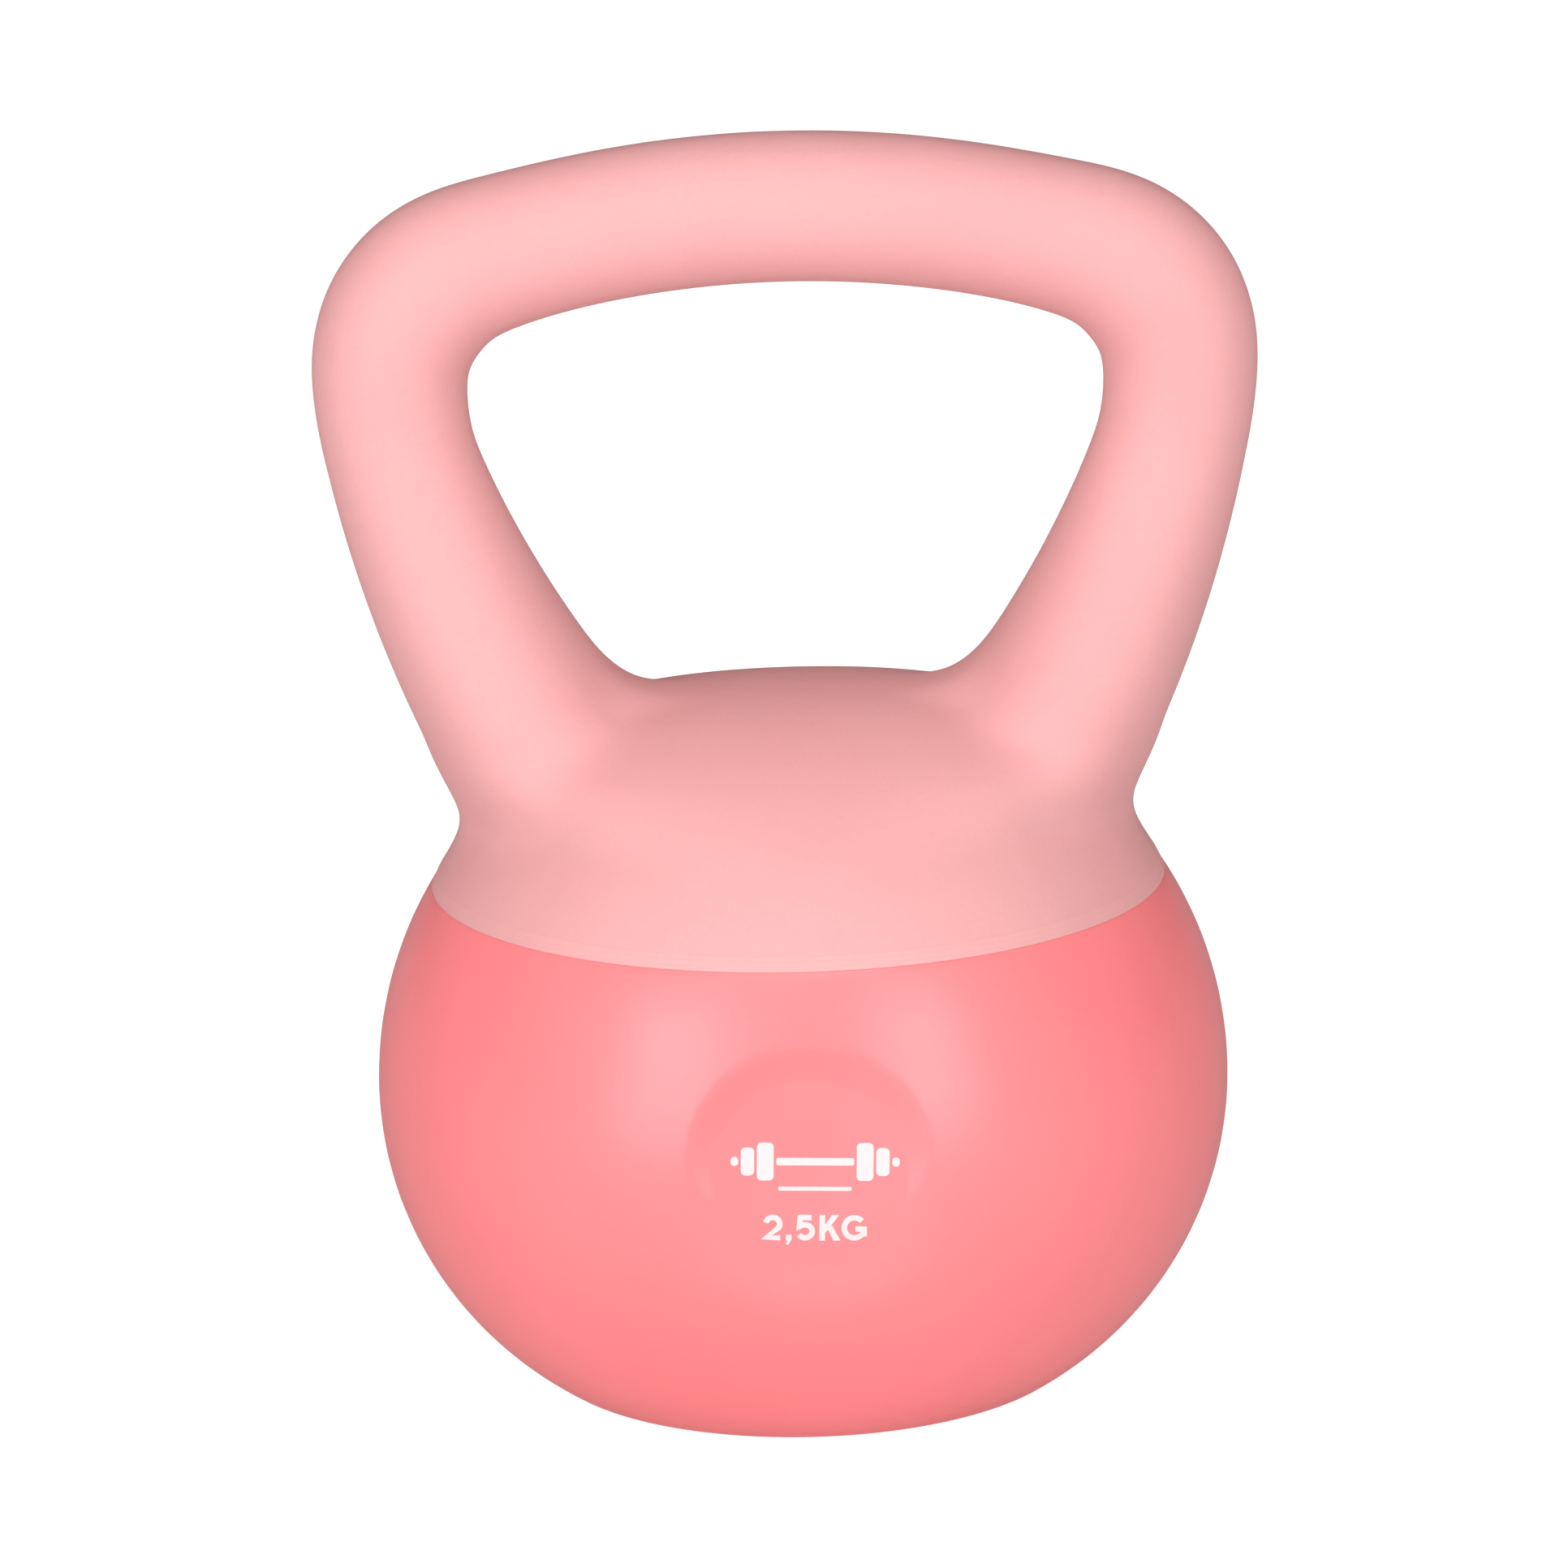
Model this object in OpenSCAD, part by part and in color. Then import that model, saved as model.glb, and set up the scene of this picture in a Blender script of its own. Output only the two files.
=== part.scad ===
// Soft kettlebell: a sand-filled ball with a one-piece soft cap, legs and grip over a bent steel tube.
// Millimetres, +Z up. The origin is the centre of the flat base; the round front panel faces -Y.

/* [View] */
// Sub-part to show; "all" shows the whole assembly

/* [Ball] */
// Height of the widest ring of the ball above the base
equator_height = 53.4; // [45:0.1:62]
// Radius of the arc that forms the lower side of the ball
lower_arc_radius = 63; // [50:0.5:75]
// Distance of the lower arc centre from the axis
lower_arc_offset = 13.4; // [5:0.1:25]
// Radius of the arc that forms the upper side, tangent to the lower one at the equator
upper_arc_radius = 68.7; // [60:0.1:76]
// Wall thickness of the ball shell
shell_wall = 4; // [2:0.1:8]
// Thickness of the flat floor of the ball
floor_thickness = 5; // [3:0.1:10]
// Height of the joint between the ball and the soft cap
seam_height = 90.4; // [80:0.1:96]

/* [Front panel] */
// Height of the panel centre above the base
panel_height = 55.9; // [40:0.1:70]
// Radius of the flat floor of the panel
panel_radius = 16.8; // [8:0.1:26]
// Distance of the flat panel floor from the ball axis
panel_distance = 72.4; // [70:0.1:75]
// Upward tilt of the panel, in degrees
panel_tilt = 7; // [0:0.5:15]
// Sideways run of the panel rim for each millimetre of depth
panel_rim_run = 3.4; // [1:0.1:6]

/* [Soft cap] */
// Wall of the cap
cap_wall = 4; // [2:0.1:8]
// Slope of the cap flank where it leaves the seam, in degrees
flank_slope = 58.5; // [45:0.1:75]
// Radius of the rounded shoulder of the cap
shoulder_radius = 73.1; // [15:0.1:80]
// Radius of the gently domed crown between the legs
crown_radius = 90; // [75:1:240]
// Slope where the crown runs into the shoulder, in degrees
crown_slope = 10; // [5:0.1:30]
// How far the crown is drawn out sideways under each leg
saddle_reach = 13; // [0:0.1:15]
// Radius of the rolled lip along the lower edge of the cap
lip_radius = 1.2; // [0.5:0.1:3]

/* [Handle] */
// Height of the grip centreline at its middle
grip_height = 211.4; // [180:0.1:240]
// Radius of the soft grip
grip_radius = 13.2; // [10:0.1:20]
// Extra radius at the two upper corners
corner_swell = 1.2; // [0:0.1:4]
// Growth of the leg radius for each millimetre down the leg
leg_flare = 0.084; // [0:0.001:0.2]
// Extra radius where a leg spreads into the cap
root_spread = 2; // [0:0.1:6]
// Bend radii of the centreline: top arch, corner, upper leg, lower leg
arch_radius = 186; // [100:1:400]
corner_radius = 22.2; // [15:0.5:50]
upper_leg_radius = 74.7; // [40:1:150]
lower_leg_radius = 212; // [120:1:500]

/* [Steel core] */
// Outside diameter of the bent tube
tube_diameter = 16; // [12:0.1:22]
// Wall of the bent tube
tube_wall = 1.5; // [1:0.1:3]
// Outside diameter of the foam sleeve on the tube
foam_diameter = 21; // [17:0.1:25]
// Bend radius that turns the tube ends upright
foot_bend_radius = 26; // [18:0.5:40]
// Thickness of the plate under the deck
plate_thickness = 3; // [2:0.1:6]
// Diameter of the two anchor bolts
bolt_diameter = 8; // [5:0.5:12]

/* [Filler port] */
// Diameter of the hole the sand is poured through
port_diameter = 22; // [12:0.5:40]
// Diameter of the plug flange
plug_flange_diameter = 30; // [20:0.5:50]
// How far the plug sits back from the base plane
plug_setback = 0.8; // [0.2:0.1:3]

/* [Hidden] */
$fn = 96;
fit_gap = 0.3;
up_x = lower_arc_offset + lower_arc_radius - upper_arc_radius;
seam_radius = up_x + sqrt(pow(upper_arc_radius, 2) - pow(seam_height - equator_height, 2));
flank_length = (seam_radius - shoulder_radius * (sin(flank_slope) - sin(crown_slope))
    - crown_radius * sin(crown_slope)) / cos(flank_slope);
// Centres of the shoulder and crown arcs, [radius, height]
flank_top = [seam_radius - flank_length * cos(flank_slope), seam_height + flank_length * sin(flank_slope)];
shoulder_c = flank_top - shoulder_radius * [sin(flank_slope), cos(flank_slope)];
crown_c = shoulder_c + (shoulder_radius - crown_radius) * [sin(crown_slope), cos(crown_slope)];
collar_top = seam_height + 5.6;
deck_thickness = 4;
foam_channel = foam_diameter / 2 + 0.3;
panel_pad = 5;
boss_radius = 18;
boss_top = 9;
sand_top = 76;

// Centreline of one half of the handle: [bend radius, turn] pairs, walked from the middle of the grip
arcs = [[arch_radius, 16.8], [corner_radius, 76], [upper_leg_radius, 14.9], [lower_leg_radius, 16.5]];
tube_arcs = [arcs[0], arcs[1], arcs[2], [lower_leg_radius, 12], [-foot_bend_radius, -29.7]];
function arc_len(a) = a[0] * a[1] * PI / 180;
function turned(list, i) = i <= 0 ? 0 : list[i - 1][1] + turned(list, i - 1);
function unit(h) = [sin(h), cos(h)];
function start(list, i) = i <= 0 ? [0, grip_height]
    : start(list, i - 1) + list[i - 1][0] * (unit(turned(list, i)) - unit(turned(list, i - 1)));
// Point and heading at a distance s along the path
function at(list, s, i = 0) = (i == len(list) - 1 || s <= arc_len(list[i]))
    ? let (h = turned(list, i), t = s / list[i][0] * 180 / PI)
        [start(list, i) + list[i][0] * (unit(h + t) - unit(h)), h + t]
    : at(list, s - arc_len(list[i]), i + 1);
leg_end = arc_len(arcs[0]) + arc_len(arcs[1]) + arc_len(arcs[2]) + arc_len(arcs[3]);
corner_mid = arc_len(arcs[0]) + arc_len(arcs[1]) / 2;
flare_from = corner_mid + 30;
root_from = leg_end - 16;
function skin_radius(s) = grip_radius
    + (abs(s - corner_mid) < 19 ? corner_swell * pow(cos((s - corner_mid) / 19 * 90), 2) : 0)
    + max(0, s - flare_from) * leg_flare
    + root_spread * pow(max(0, s - root_from) / 11, 2);
foot = start(tube_arcs, len(tube_arcs));

// Distances along a path with a chosen number of steps in each arc
function before(list, i) = i <= 0 ? 0 : arc_len(list[i - 1]) + before(list, i - 1);
function stations(list, steps) = concat(
    [for (i = [0:len(steps) - 1], k = [0:steps[i] - 1]) before(list, i) + arc_len(list[i]) * k / steps[i]],
    [before(list, len(steps))]);
// Frames of the whole handle, left foot to right foot, from those of its right half
function whole(half) = concat(
    [for (i = [len(half) - 1:-1:1]) [[-half[i][0][0], half[i][0][1]], -half[i][1]]], half);
path_steps = [5, 9, 3, 5, 4];
sleeve_frames = whole([for (s = stations(tube_arcs, [for (i = [0:3]) path_steps[i]])) at(tube_arcs, s)]);
tube_frames = whole(concat(
    [for (s = stations(tube_arcs, path_steps)) at(tube_arcs, s)],
    [[[foot[0], collar_top + fit_gap], 90]]));

// Half outline of the ball, moved inwards by inset
module ball_outline(inset = 0, top = seam_height) {
    intersection() {
        union() {
            intersection() {
                translate([lower_arc_offset, equator_height]) circle(lower_arc_radius - inset);
                square([120, equator_height]);
            }
            intersection() {
                translate([up_x, equator_height]) circle(upper_arc_radius - inset);
                translate([0, equator_height]) square([120, 80]);
            }
            square([lower_arc_offset, top]);
        }
        square([120, top]);
    }
}

// Half outline of the cap dome, moved inwards by inset
module dome_outline(inset = 0, bottom = seam_height) {
    foot_r = seam_radius - inset / sin(flank_slope) - (bottom - seam_height) / tan(flank_slope);
    polygon(concat(
        [[0, bottom], [foot_r, bottom]],
        [for (k = [0:9]) let (t = flank_slope + (crown_slope - flank_slope) * k / 9)
            shoulder_c + (shoulder_radius - inset) * unit(t)],
        [for (k = [1:3]) crown_c + (crown_radius - inset) * unit(crown_slope * (1 - k / 3))]));
}

// Point of the dome outline, [radius, height], where it slopes by t degrees
function dome_point(t) = t > crown_slope
    ? shoulder_c + shoulder_radius * unit(t) : crown_c + crown_radius * unit(t);

// Solid cap dome, round at the seam and drawn out sideways between the legs
module saddle_dome(bottom) {
    foot_r = seam_radius - (bottom - seam_height) / tan(flank_slope);
    top = dome_point(0)[1];
    hull() {
        translate([0, 0, bottom]) cylinder(r = foot_r, h = 0.01, $fn = 64);
        for (k = [0:13]) {
            p = dome_point(flank_slope - (flank_slope - 2) * k / 13);
            rise = min(1, max(0, (p[1] - 104) / (top - 112)));
            reach = saddle_reach * rise * rise * (3 - 2 * rise) * min(1, p[0] / 24);
            translate([0, 0, p[1]]) scale([1 + reach / p[0], 1, 1]) cylinder(r = p[0], h = 0.01, $fn = 64);
        }
    }
}

// Round pipe, or solid bar when r_in is 0, along frames; every frame is [[x, z], heading]
module pipe(frames, r_out, r_in = 0, sides = 16) {
    n = len(frames);
    m = sides;
    function ring(f, r) = [for (k = [0:m - 1]) let (t = 360 * k / m, u = unit(f[1]))
        [f[0][0] + r * cos(t) * u[0], r * sin(t), f[0][1] + r * cos(t) * u[1]]];
    outer = [for (f = frames) each ring(f, r_out)];
    inner = r_in > 0 ? [for (f = frames) each ring(f, r_in)] : [];
    side = [for (i = [0:n - 2], k = [0:m - 1])
        [i * m + k, i * m + (k + 1) % m, (i + 1) * m + (k + 1) % m, (i + 1) * m + k]];
    o = n * m;
    ends = r_in > 0
        ? [for (k = [0:m - 1]) each [
            [k, o + k, o + (k + 1) % m, (k + 1) % m],
            [o - m + k, o - m + (k + 1) % m, 2 * o - m + (k + 1) % m, 2 * o - m + k]]]
        : [[for (k = [m - 1:-1:0]) k], [for (k = [0:m - 1]) o - m + k]];
    polyhedron(concat(outer, inner), concat(side, ends,
        r_in > 0 ? [for (q = side) [for (k = [3:-1:0]) q[k] + o]] : []), convexity = 6);
}

module both_sides() {
    children();
    mirror([1, 0, 0]) children();
}

// Disc square to the centreline at distance s
module slice(s) {
    p = at(arcs, s);
    translate([p[0][0], 0, p[0][1]]) rotate([0, p[1] + 90, 0])
        cylinder(r = skin_radius(s), h = 0.2, center = true, $fn = 30);
}

module leg_skin() {
    marks = stations(arcs, [5, 9, 3, 7]);
    for (i = [0:len(marks) - 2]) hull() {
        slice(marks[i]);
        slice(marks[i + 1]);
    }
}

// Hollow ball with a flat base, a closed deck under the cap and a flat round panel on the front
module bell_shell() {
    color([0.98, 0.58, 0.60]) difference() {
        union() {
            rotate([0, 0, -90]) rotate_extrude() ball_outline();
            translate([0, 0, seam_height])
                cylinder(r1 = seam_radius - (cap_wall + fit_gap) / sin(flank_slope),
                    r2 = seam_radius - (cap_wall + fit_gap) / sin(flank_slope)
                        - (collar_top - seam_height) / tan(flank_slope),
                    h = collar_top - seam_height);
        }
        bell_cavity();
        // Front panel
        translate([0, -panel_distance, panel_height]) rotate([90 - panel_tilt, 0, 0])
            cylinder(r1 = panel_radius, r2 = panel_radius + 6 * panel_rim_run, h = 6);
        // Filler port with its stepped seat
        translate([0, 0, -1]) cylinder(d = port_diameter, h = boss_top + 2);
        translate([0, 0, -1]) cylinder(d = plug_flange_diameter + 0.8, h = 1 + plug_setback + 2.7);
        // Bolt holes in the deck
        for (x = [-foot[0], foot[0]]) translate([x, 0, collar_top - deck_thickness - 1])
            cylinder(d = bolt_diameter + 0.6, h = deck_thickness + 2);
    }
}

module bell_cavity() {
    difference() {
        rotate_extrude() intersection() {
            ball_outline(shell_wall, collar_top - deck_thickness);
            polygon([[0, floor_thickness], [90, floor_thickness], [90, 64],
                [54, collar_top - deck_thickness], [0, collar_top - deck_thickness]]);
        }
        cylinder(r = boss_radius, h = boss_top);
        translate([0, panel_pad - panel_distance, panel_height]) rotate([90, 0, 0])
            cylinder(r = panel_radius + 5, h = 12);
    }
}

// Soft skin in one piece: domed cap, two flared legs and the arched grip
module handle_cap() {
    color([0.98, 0.73, 0.73]) difference() {
        union() {
            saddle_dome(seam_height + fit_gap);
            rotate_extrude($fn = 64)
                translate([seam_radius - (fit_gap + lip_radius) / tan(flank_slope)
                    - (lip_radius - 0.4) / sin(flank_slope), seam_height + fit_gap + lip_radius])
                    circle(lip_radius, $fn = 14);
            both_sides() leg_skin();
        }
        rotate_extrude($fn = 64) dome_outline(cap_wall, seam_height - 1);
        pipe(tube_frames, foam_channel);
    }
}

// Foam sleeve over the bent part of the tube
module grip_foam() {
    color([0.86, 0.84, 0.80]) pipe(sleeve_frames, foam_diameter / 2, tube_diameter / 2 + 0.15);
}

// Bent steel tube that carries the load from the grip to the deck
module handle_tube() {
    color([0.62, 0.63, 0.65]) pipe(tube_frames, tube_diameter / 2, tube_diameter / 2 - tube_wall);
}

// Threaded steel slug pressed into a tube end
module tube_insert(side) {
    color([0.55, 0.56, 0.58]) translate([side * foot[0], 0, collar_top + fit_gap]) difference() {
        cylinder(d = tube_diameter - 2 * tube_wall - 0.4, h = 7);
        translate([0, 0, -1]) cylinder(d = bolt_diameter + 0.2, h = 9);
    }
}
module tube_insert_left() tube_insert(-1);
module tube_insert_right() tube_insert(1);

// Steel plate that spreads the load under the deck
module anchor_plate() {
    z = collar_top - deck_thickness - 0.2 - plate_thickness;
    color([0.60, 0.61, 0.63]) translate([0, 0, z]) difference() {
        intersection() {
            translate([-52, -19, 0]) cube([104, 38, plate_thickness]);
            cylinder(r = 52, h = plate_thickness);
        }
        for (x = [-foot[0], foot[0]]) translate([x, 0, -1])
            cylinder(d = bolt_diameter + 0.6, h = plate_thickness + 2);
    }
}

// Flat washer between the plate and a bolt head
module anchor_washer(side) {
    z = collar_top - deck_thickness - 0.2 - plate_thickness - 0.05 - 1.6;
    color([0.72, 0.73, 0.74]) translate([side * foot[0], 0, z]) difference() {
        cylinder(d = 2 * bolt_diameter, h = 1.6);
        translate([0, 0, -1]) cylinder(d = bolt_diameter + 0.6, h = 4);
    }
}
module anchor_washer_left() anchor_washer(-1);
module anchor_washer_right() anchor_washer(1);

// Hexagon bolt from below into the tube insert
module anchor_bolt(side) {
    head = 5.3;
    z = collar_top - deck_thickness - 0.2 - plate_thickness - 0.05 - 1.6 - 0.05;
    color([0.50, 0.51, 0.53]) translate([side * foot[0], 0, z]) union() {
        translate([0, 0, -head]) cylinder(d = 13 / cos(30), h = head, $fn = 6);
        translate([0, 0, -1]) cylinder(d = bolt_diameter, h = 1 + collar_top + fit_gap + 6 - z);
    }
}
module anchor_bolt_left() anchor_bolt(-1);
module anchor_bolt_right() anchor_bolt(1);

// Loose sand that fills the ball, as one plain body
module sand_fill() {
    color([0.76, 0.66, 0.50]) difference() {
        rotate_extrude() intersection() {
            ball_outline(shell_wall + fit_gap, sand_top);
            translate([0, floor_thickness + fit_gap]) square([90, sand_top - floor_thickness - fit_gap]);
        }
        cylinder(r = boss_radius + fit_gap, h = boss_top + fit_gap);
        translate([0, fit_gap - panel_distance + panel_pad, panel_height]) rotate([90, 0, 0])
            cylinder(r = panel_radius + 5 + fit_gap, h = 12);
    }
}

// Flat rubber ring under the plug flange
module plug_gasket() {
    color([0.15, 0.15, 0.16]) translate([0, 0, plug_setback + 2.05]) difference() {
        cylinder(d = plug_flange_diameter - 0.6, h = 0.6);
        translate([0, 0, -1]) cylinder(d = port_diameter + 0.4, h = 3);
    }
}

// Bonded plug that closes the filler port, set back from the base plane
module filler_plug() {
    color([0.90, 0.50, 0.52]) translate([0, 0, plug_setback]) difference() {
        union() {
            cylinder(d = plug_flange_diameter, h = 2);
            cylinder(d = port_diameter - 0.4, h = boss_top - plug_setback);
        }
        translate([0, 0, 3]) cylinder(d = port_diameter - 5, h = boss_top);
    }
}

bell_shell();
handle_cap();
grip_foam();
handle_tube();
tube_insert_left();
tube_insert_right();
anchor_plate();
anchor_washer_left();
anchor_washer_right();
anchor_bolt_left();
anchor_bolt_right();
sand_fill();
plug_gasket();
filler_plug();
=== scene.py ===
import math

import bmesh
import bpy
import numpy as np
from mathutils import Matrix, Vector


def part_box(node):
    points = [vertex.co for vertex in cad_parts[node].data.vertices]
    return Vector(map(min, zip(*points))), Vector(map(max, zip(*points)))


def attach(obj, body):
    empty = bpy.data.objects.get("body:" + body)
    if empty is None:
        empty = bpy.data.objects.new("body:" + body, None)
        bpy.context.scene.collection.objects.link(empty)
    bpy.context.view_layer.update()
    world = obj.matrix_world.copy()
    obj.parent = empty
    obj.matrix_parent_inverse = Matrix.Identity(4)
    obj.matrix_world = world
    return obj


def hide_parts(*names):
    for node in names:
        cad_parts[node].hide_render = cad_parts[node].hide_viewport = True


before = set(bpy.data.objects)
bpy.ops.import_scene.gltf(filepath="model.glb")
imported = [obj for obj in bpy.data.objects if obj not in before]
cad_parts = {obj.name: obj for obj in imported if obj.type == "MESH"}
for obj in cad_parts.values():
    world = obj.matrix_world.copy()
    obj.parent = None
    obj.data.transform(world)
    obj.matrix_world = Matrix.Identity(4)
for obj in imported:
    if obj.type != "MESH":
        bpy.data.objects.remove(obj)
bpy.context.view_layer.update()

MM = 0.001

# Soft kettlebell: a glossy ball with a sunken printed panel, and a matte cap with legs and grip in one skin.
# The hidden pieces (tube, foam, plate, bolts, sand, gasket) keep their frame meshes and take a material.

# ---------------------------------------------------------------- sizes, in millimetres
_, bell_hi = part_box("bell_shell")
cap_lo, cap_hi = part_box("handle_cap")
plug_lo, plug_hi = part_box("filler_plug")

# the ball: two arcs that meet at its widest ring
EQ_R = bell_hi.x / MM                 # widest radius
EQ_Z = 53.4                           # height of the widest ring
LOW_X = 13.4
LOW_R = EQ_R - LOW_X                  # arc of the lower side
UP_R = 68.7
UP_X = EQ_R - UP_R                    # arc of the upper side
SHELL_WALL = 4.0
BASE_EDGE = 3.5                       # rounding of the base edge
FLOOR_Z = 5.0                         # inside of the base
PORT_R, PORT_TOP = 11.0, 9.0          # filler port in the base
DECK_Z, DECK_T = 96.0, 4.0            # closed deck under the cap
COLLAR_R = 57.4                       # collar of the deck, inside the cap's edge

# the seam and the grip
SEAM_Z = cap_lo.z / MM - 0.3
SEAM_R = UP_X + math.sqrt(UP_R ** 2 - (SEAM_Z - EQ_Z) ** 2)
GRIP_R = 13.2
GRIP_Z = cap_hi.z / MM - GRIP_R + 0.1

# the sunken front panel: centre height, distance of its floor from the axis, backward tilt
PANEL_Z, PANEL_D, PANEL_TILT = 55.9, 72.1, math.radians(7)
PANEL_FLOOR_R, PANEL_RUN = 16.8, 2.9  # radius of the flat floor, run of the rim for each millimetre of rise
PANEL_REACH = 32.0                    # nothing farther from the panel's centre is moved


# ---------------------------------------------------------------- small mesh helpers
def mesh_object(name, verts_mm, faces):
    me = bpy.data.meshes.new(name)
    me.from_pydata([tuple(v) for v in np.asarray(verts_mm) * MM], [], faces)
    me.validate()
    me.polygons.foreach_set("use_smooth", [True] * len(me.polygons))
    me.update()
    ob = bpy.data.objects.new(name, me)
    bpy.context.scene.collection.objects.link(ob)
    return ob


def outward(ob):
    """Turns all faces of a closed mesh outwards."""
    bm = bmesh.new()
    bm.from_mesh(ob.data)
    bmesh.ops.recalc_face_normals(bm, faces=bm.faces)
    bm.to_mesh(ob.data)
    bm.free()
    ob.data.update()


def arc(cx, cz, r, a0, a1, n):
    """n + 1 points of an arc in the (radius, height) plane, angles from +radius towards +height."""
    t = np.radians(np.linspace(a0, a1, n + 1))
    return [(cx + r * math.cos(a), cz + r * math.sin(a)) for a in t]


def revolve(name, loop, columns, shape=None):
    """Turns a closed or axis-to-axis profile round Z, at column angles in degrees; shape bends the points."""
    t = np.radians(np.asarray(columns))
    n = len(t)
    verts, rows = [], []
    for r, z in loop:
        if r < 1e-6:
            rows.append([len(verts)] * n)
            verts.append((0.0, 0.0, z))
        else:
            rows.append(list(range(len(verts), len(verts) + n)))
            verts += [(r * math.cos(a), r * math.sin(a), z) for a in t]
    closed = loop[0][0] > 1e-6
    faces = []
    for i in range(len(rows) if closed else len(rows) - 1):
        a, b = rows[i], rows[(i + 1) % len(rows)]
        for k in range(n):
            q = [a[k], a[(k + 1) % n], b[(k + 1) % n], b[k]]
            q = [v for j, v in enumerate(q) if v not in q[:j]]
            if len(q) > 2:
                faces.append(q)
    verts = np.array(verts)
    ob = mesh_object(name, verts if shape is None else shape(verts), faces)
    outward(ob)
    return ob


# ---------------------------------------------------------------- the ball
PANEL_MID = np.array([0.0, -PANEL_D, PANEL_Z])
PANEL_OUT = np.array([0.0, -math.cos(PANEL_TILT), math.sin(PANEL_TILT)])
PANEL_UP = np.array([0.0, math.sin(PANEL_TILT), math.cos(PANEL_TILT)])


def panel_height(h, a, b):
    """Height over the panel floor of a point that was h above it, at a across and b up the floor."""
    rho = np.hypot(a, b)
    t = (rho - PANEL_FLOOR_R) / PANEL_RUN
    rim = 0.5 * (t + np.sqrt(t * t + 0.18 ** 2))              # flat floor, then a cone
    fade = np.clip((4.0 - b) / 22.0, 0, 1)                    # the rim melts away towards the bottom
    k = 0.5 + 6.0 * fade * fade * (3 - 2 * fade)              # width of the round between rim and ball
    blend = np.clip(0.5 + 0.5 * (h - rim) / k, 0, 1)
    return h * (1 - blend) + rim * blend - k * blend * (1 - blend)


def panel_shape(v):
    """Sinks the round front panel into the ball: a flat tilted floor with a soft conical rim."""
    q = v - PANEL_MID
    h, a, b = q @ PANEL_OUT, q[:, 0], q @ PANEL_UP
    outer = (v[:, 1] < -60) & (np.hypot(a, b) < PANEL_REACH) & (h > 0.5 - SHELL_WALL)
    v = v.copy()
    v[outer] += ((panel_height(h, a, b) - h)[:, None] * PANEL_OUT)[outer]
    return v


def ball_radius(z):
    """Radius of the plain ball at a height."""
    low = LOW_X + np.sqrt(np.maximum(LOW_R ** 2 - (z - EQ_Z) ** 2, 0))
    high = UP_X + np.sqrt(np.maximum(UP_R ** 2 - (z - EQ_Z) ** 2, 0))
    return np.where(z < EQ_Z, low, high)


def panel_surface(a, b):
    """Height of the finished panel surface over its floor plane."""
    lo, hi = -6.0, 12.0
    for _ in range(30):
        h = (lo + hi) / 2
        x, y, z = PANEL_MID + np.array([a, 0, 0]) + PANEL_UP * b + PANEL_OUT * h
        lo, hi = (h, hi) if math.hypot(x, y) < ball_radius(z) else (lo, h)
    return float(panel_height(np.float64(h), a, b))


def bell_columns():
    """Angles of the ball's columns: fine across the panel, wider towards the back."""
    step, reach = 0.39, 19.5
    fine = np.arange(-reach, reach + 0.01, step)
    side, at = [], reach
    while at < 180:
        step = min(step * 1.25, 2.6)
        at += step
        side.append(at)
    side = np.array(side) * (179.0 / side[-1])
    side = side[side > reach + 0.1]
    return np.concatenate([-side[::-1], fine, side]) - 90.0


def bell_profile():
    """Section of the ball: down the inside from deck to port, then over base, side and seam to the deck."""
    wall = SHELL_WALL
    low = math.degrees(math.asin((FLOOR_Z - EQ_Z) / (LOW_R - wall)))
    p = [(0, DECK_Z - DECK_T), (25, DECK_Z - DECK_T), (53.8, DECK_Z - DECK_T)]
    p += [(54 + (92 - z) * 36 / 28, z) for z in (88, 84, 81)]
    p += arc(UP_X, EQ_Z, UP_R - wall, 22.0, 0, 16)
    p += arc(LOW_X, EQ_Z, LOW_R - wall, 0, low, 24)[1:]
    p += [(30, FLOOR_Z), (18.2, FLOOR_Z), (18.0, FLOOR_Z + 0.2)]
    p += [(18.0, PORT_TOP - 0.2), (17.8, PORT_TOP), (11.2, PORT_TOP)]

    # the port, the seat of the plug and the base
    f, seat = BASE_EDGE, plug_hi.x / MM + 0.4
    foot = LOW_X + math.sqrt((LOW_R - f) ** 2 - (EQ_Z - f) ** 2)
    meet = math.degrees(math.atan2(f - EQ_Z, foot - LOW_X))
    p += [(PORT_R, PORT_TOP), (PORT_R, 6.0), (PORT_R, 3.7), (11.2, 3.5), (seat - 0.3, 3.5), (seat, 3.2)]
    p += [(seat, 0.6), (seat + 0.2, 0.2), (seat + 0.6, 0.0)]
    p += [(r, 0.0) for r in np.linspace(seat + 4, foot - 1, 7)]
    p += arc(foot, f, f, -90, meet, 7)

    # the side, finer over the heights of the panel, then the seam, the collar and the deck
    top = math.degrees(math.asin((SEAM_Z - EQ_Z) / UP_R))
    p += arc(LOW_X, EQ_Z, LOW_R, meet, -19, 24)[1:]
    p += arc(LOW_X, EQ_Z, LOW_R, -19, 0, 42)[1:]
    p += arc(UP_X, EQ_Z, UP_R, 0, 24.6, 58)[1:]
    p += arc(UP_X, EQ_Z, UP_R, 24.6, top - 0.2, 8)[1:]
    p += [(SEAM_R + 0.02, SEAM_Z - 0.10), (SEAM_R - 0.04, SEAM_Z), (SEAM_R - 2.2, SEAM_Z)]
    p += [(60.9, SEAM_Z), (60.7, SEAM_Z + 0.2), (COLLAR_R, DECK_Z - 0.1), (COLLAR_R - 0.3, DECK_Z)]
    return p + [(40, DECK_Z), (20, DECK_Z), (0, DECK_Z)]


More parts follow.
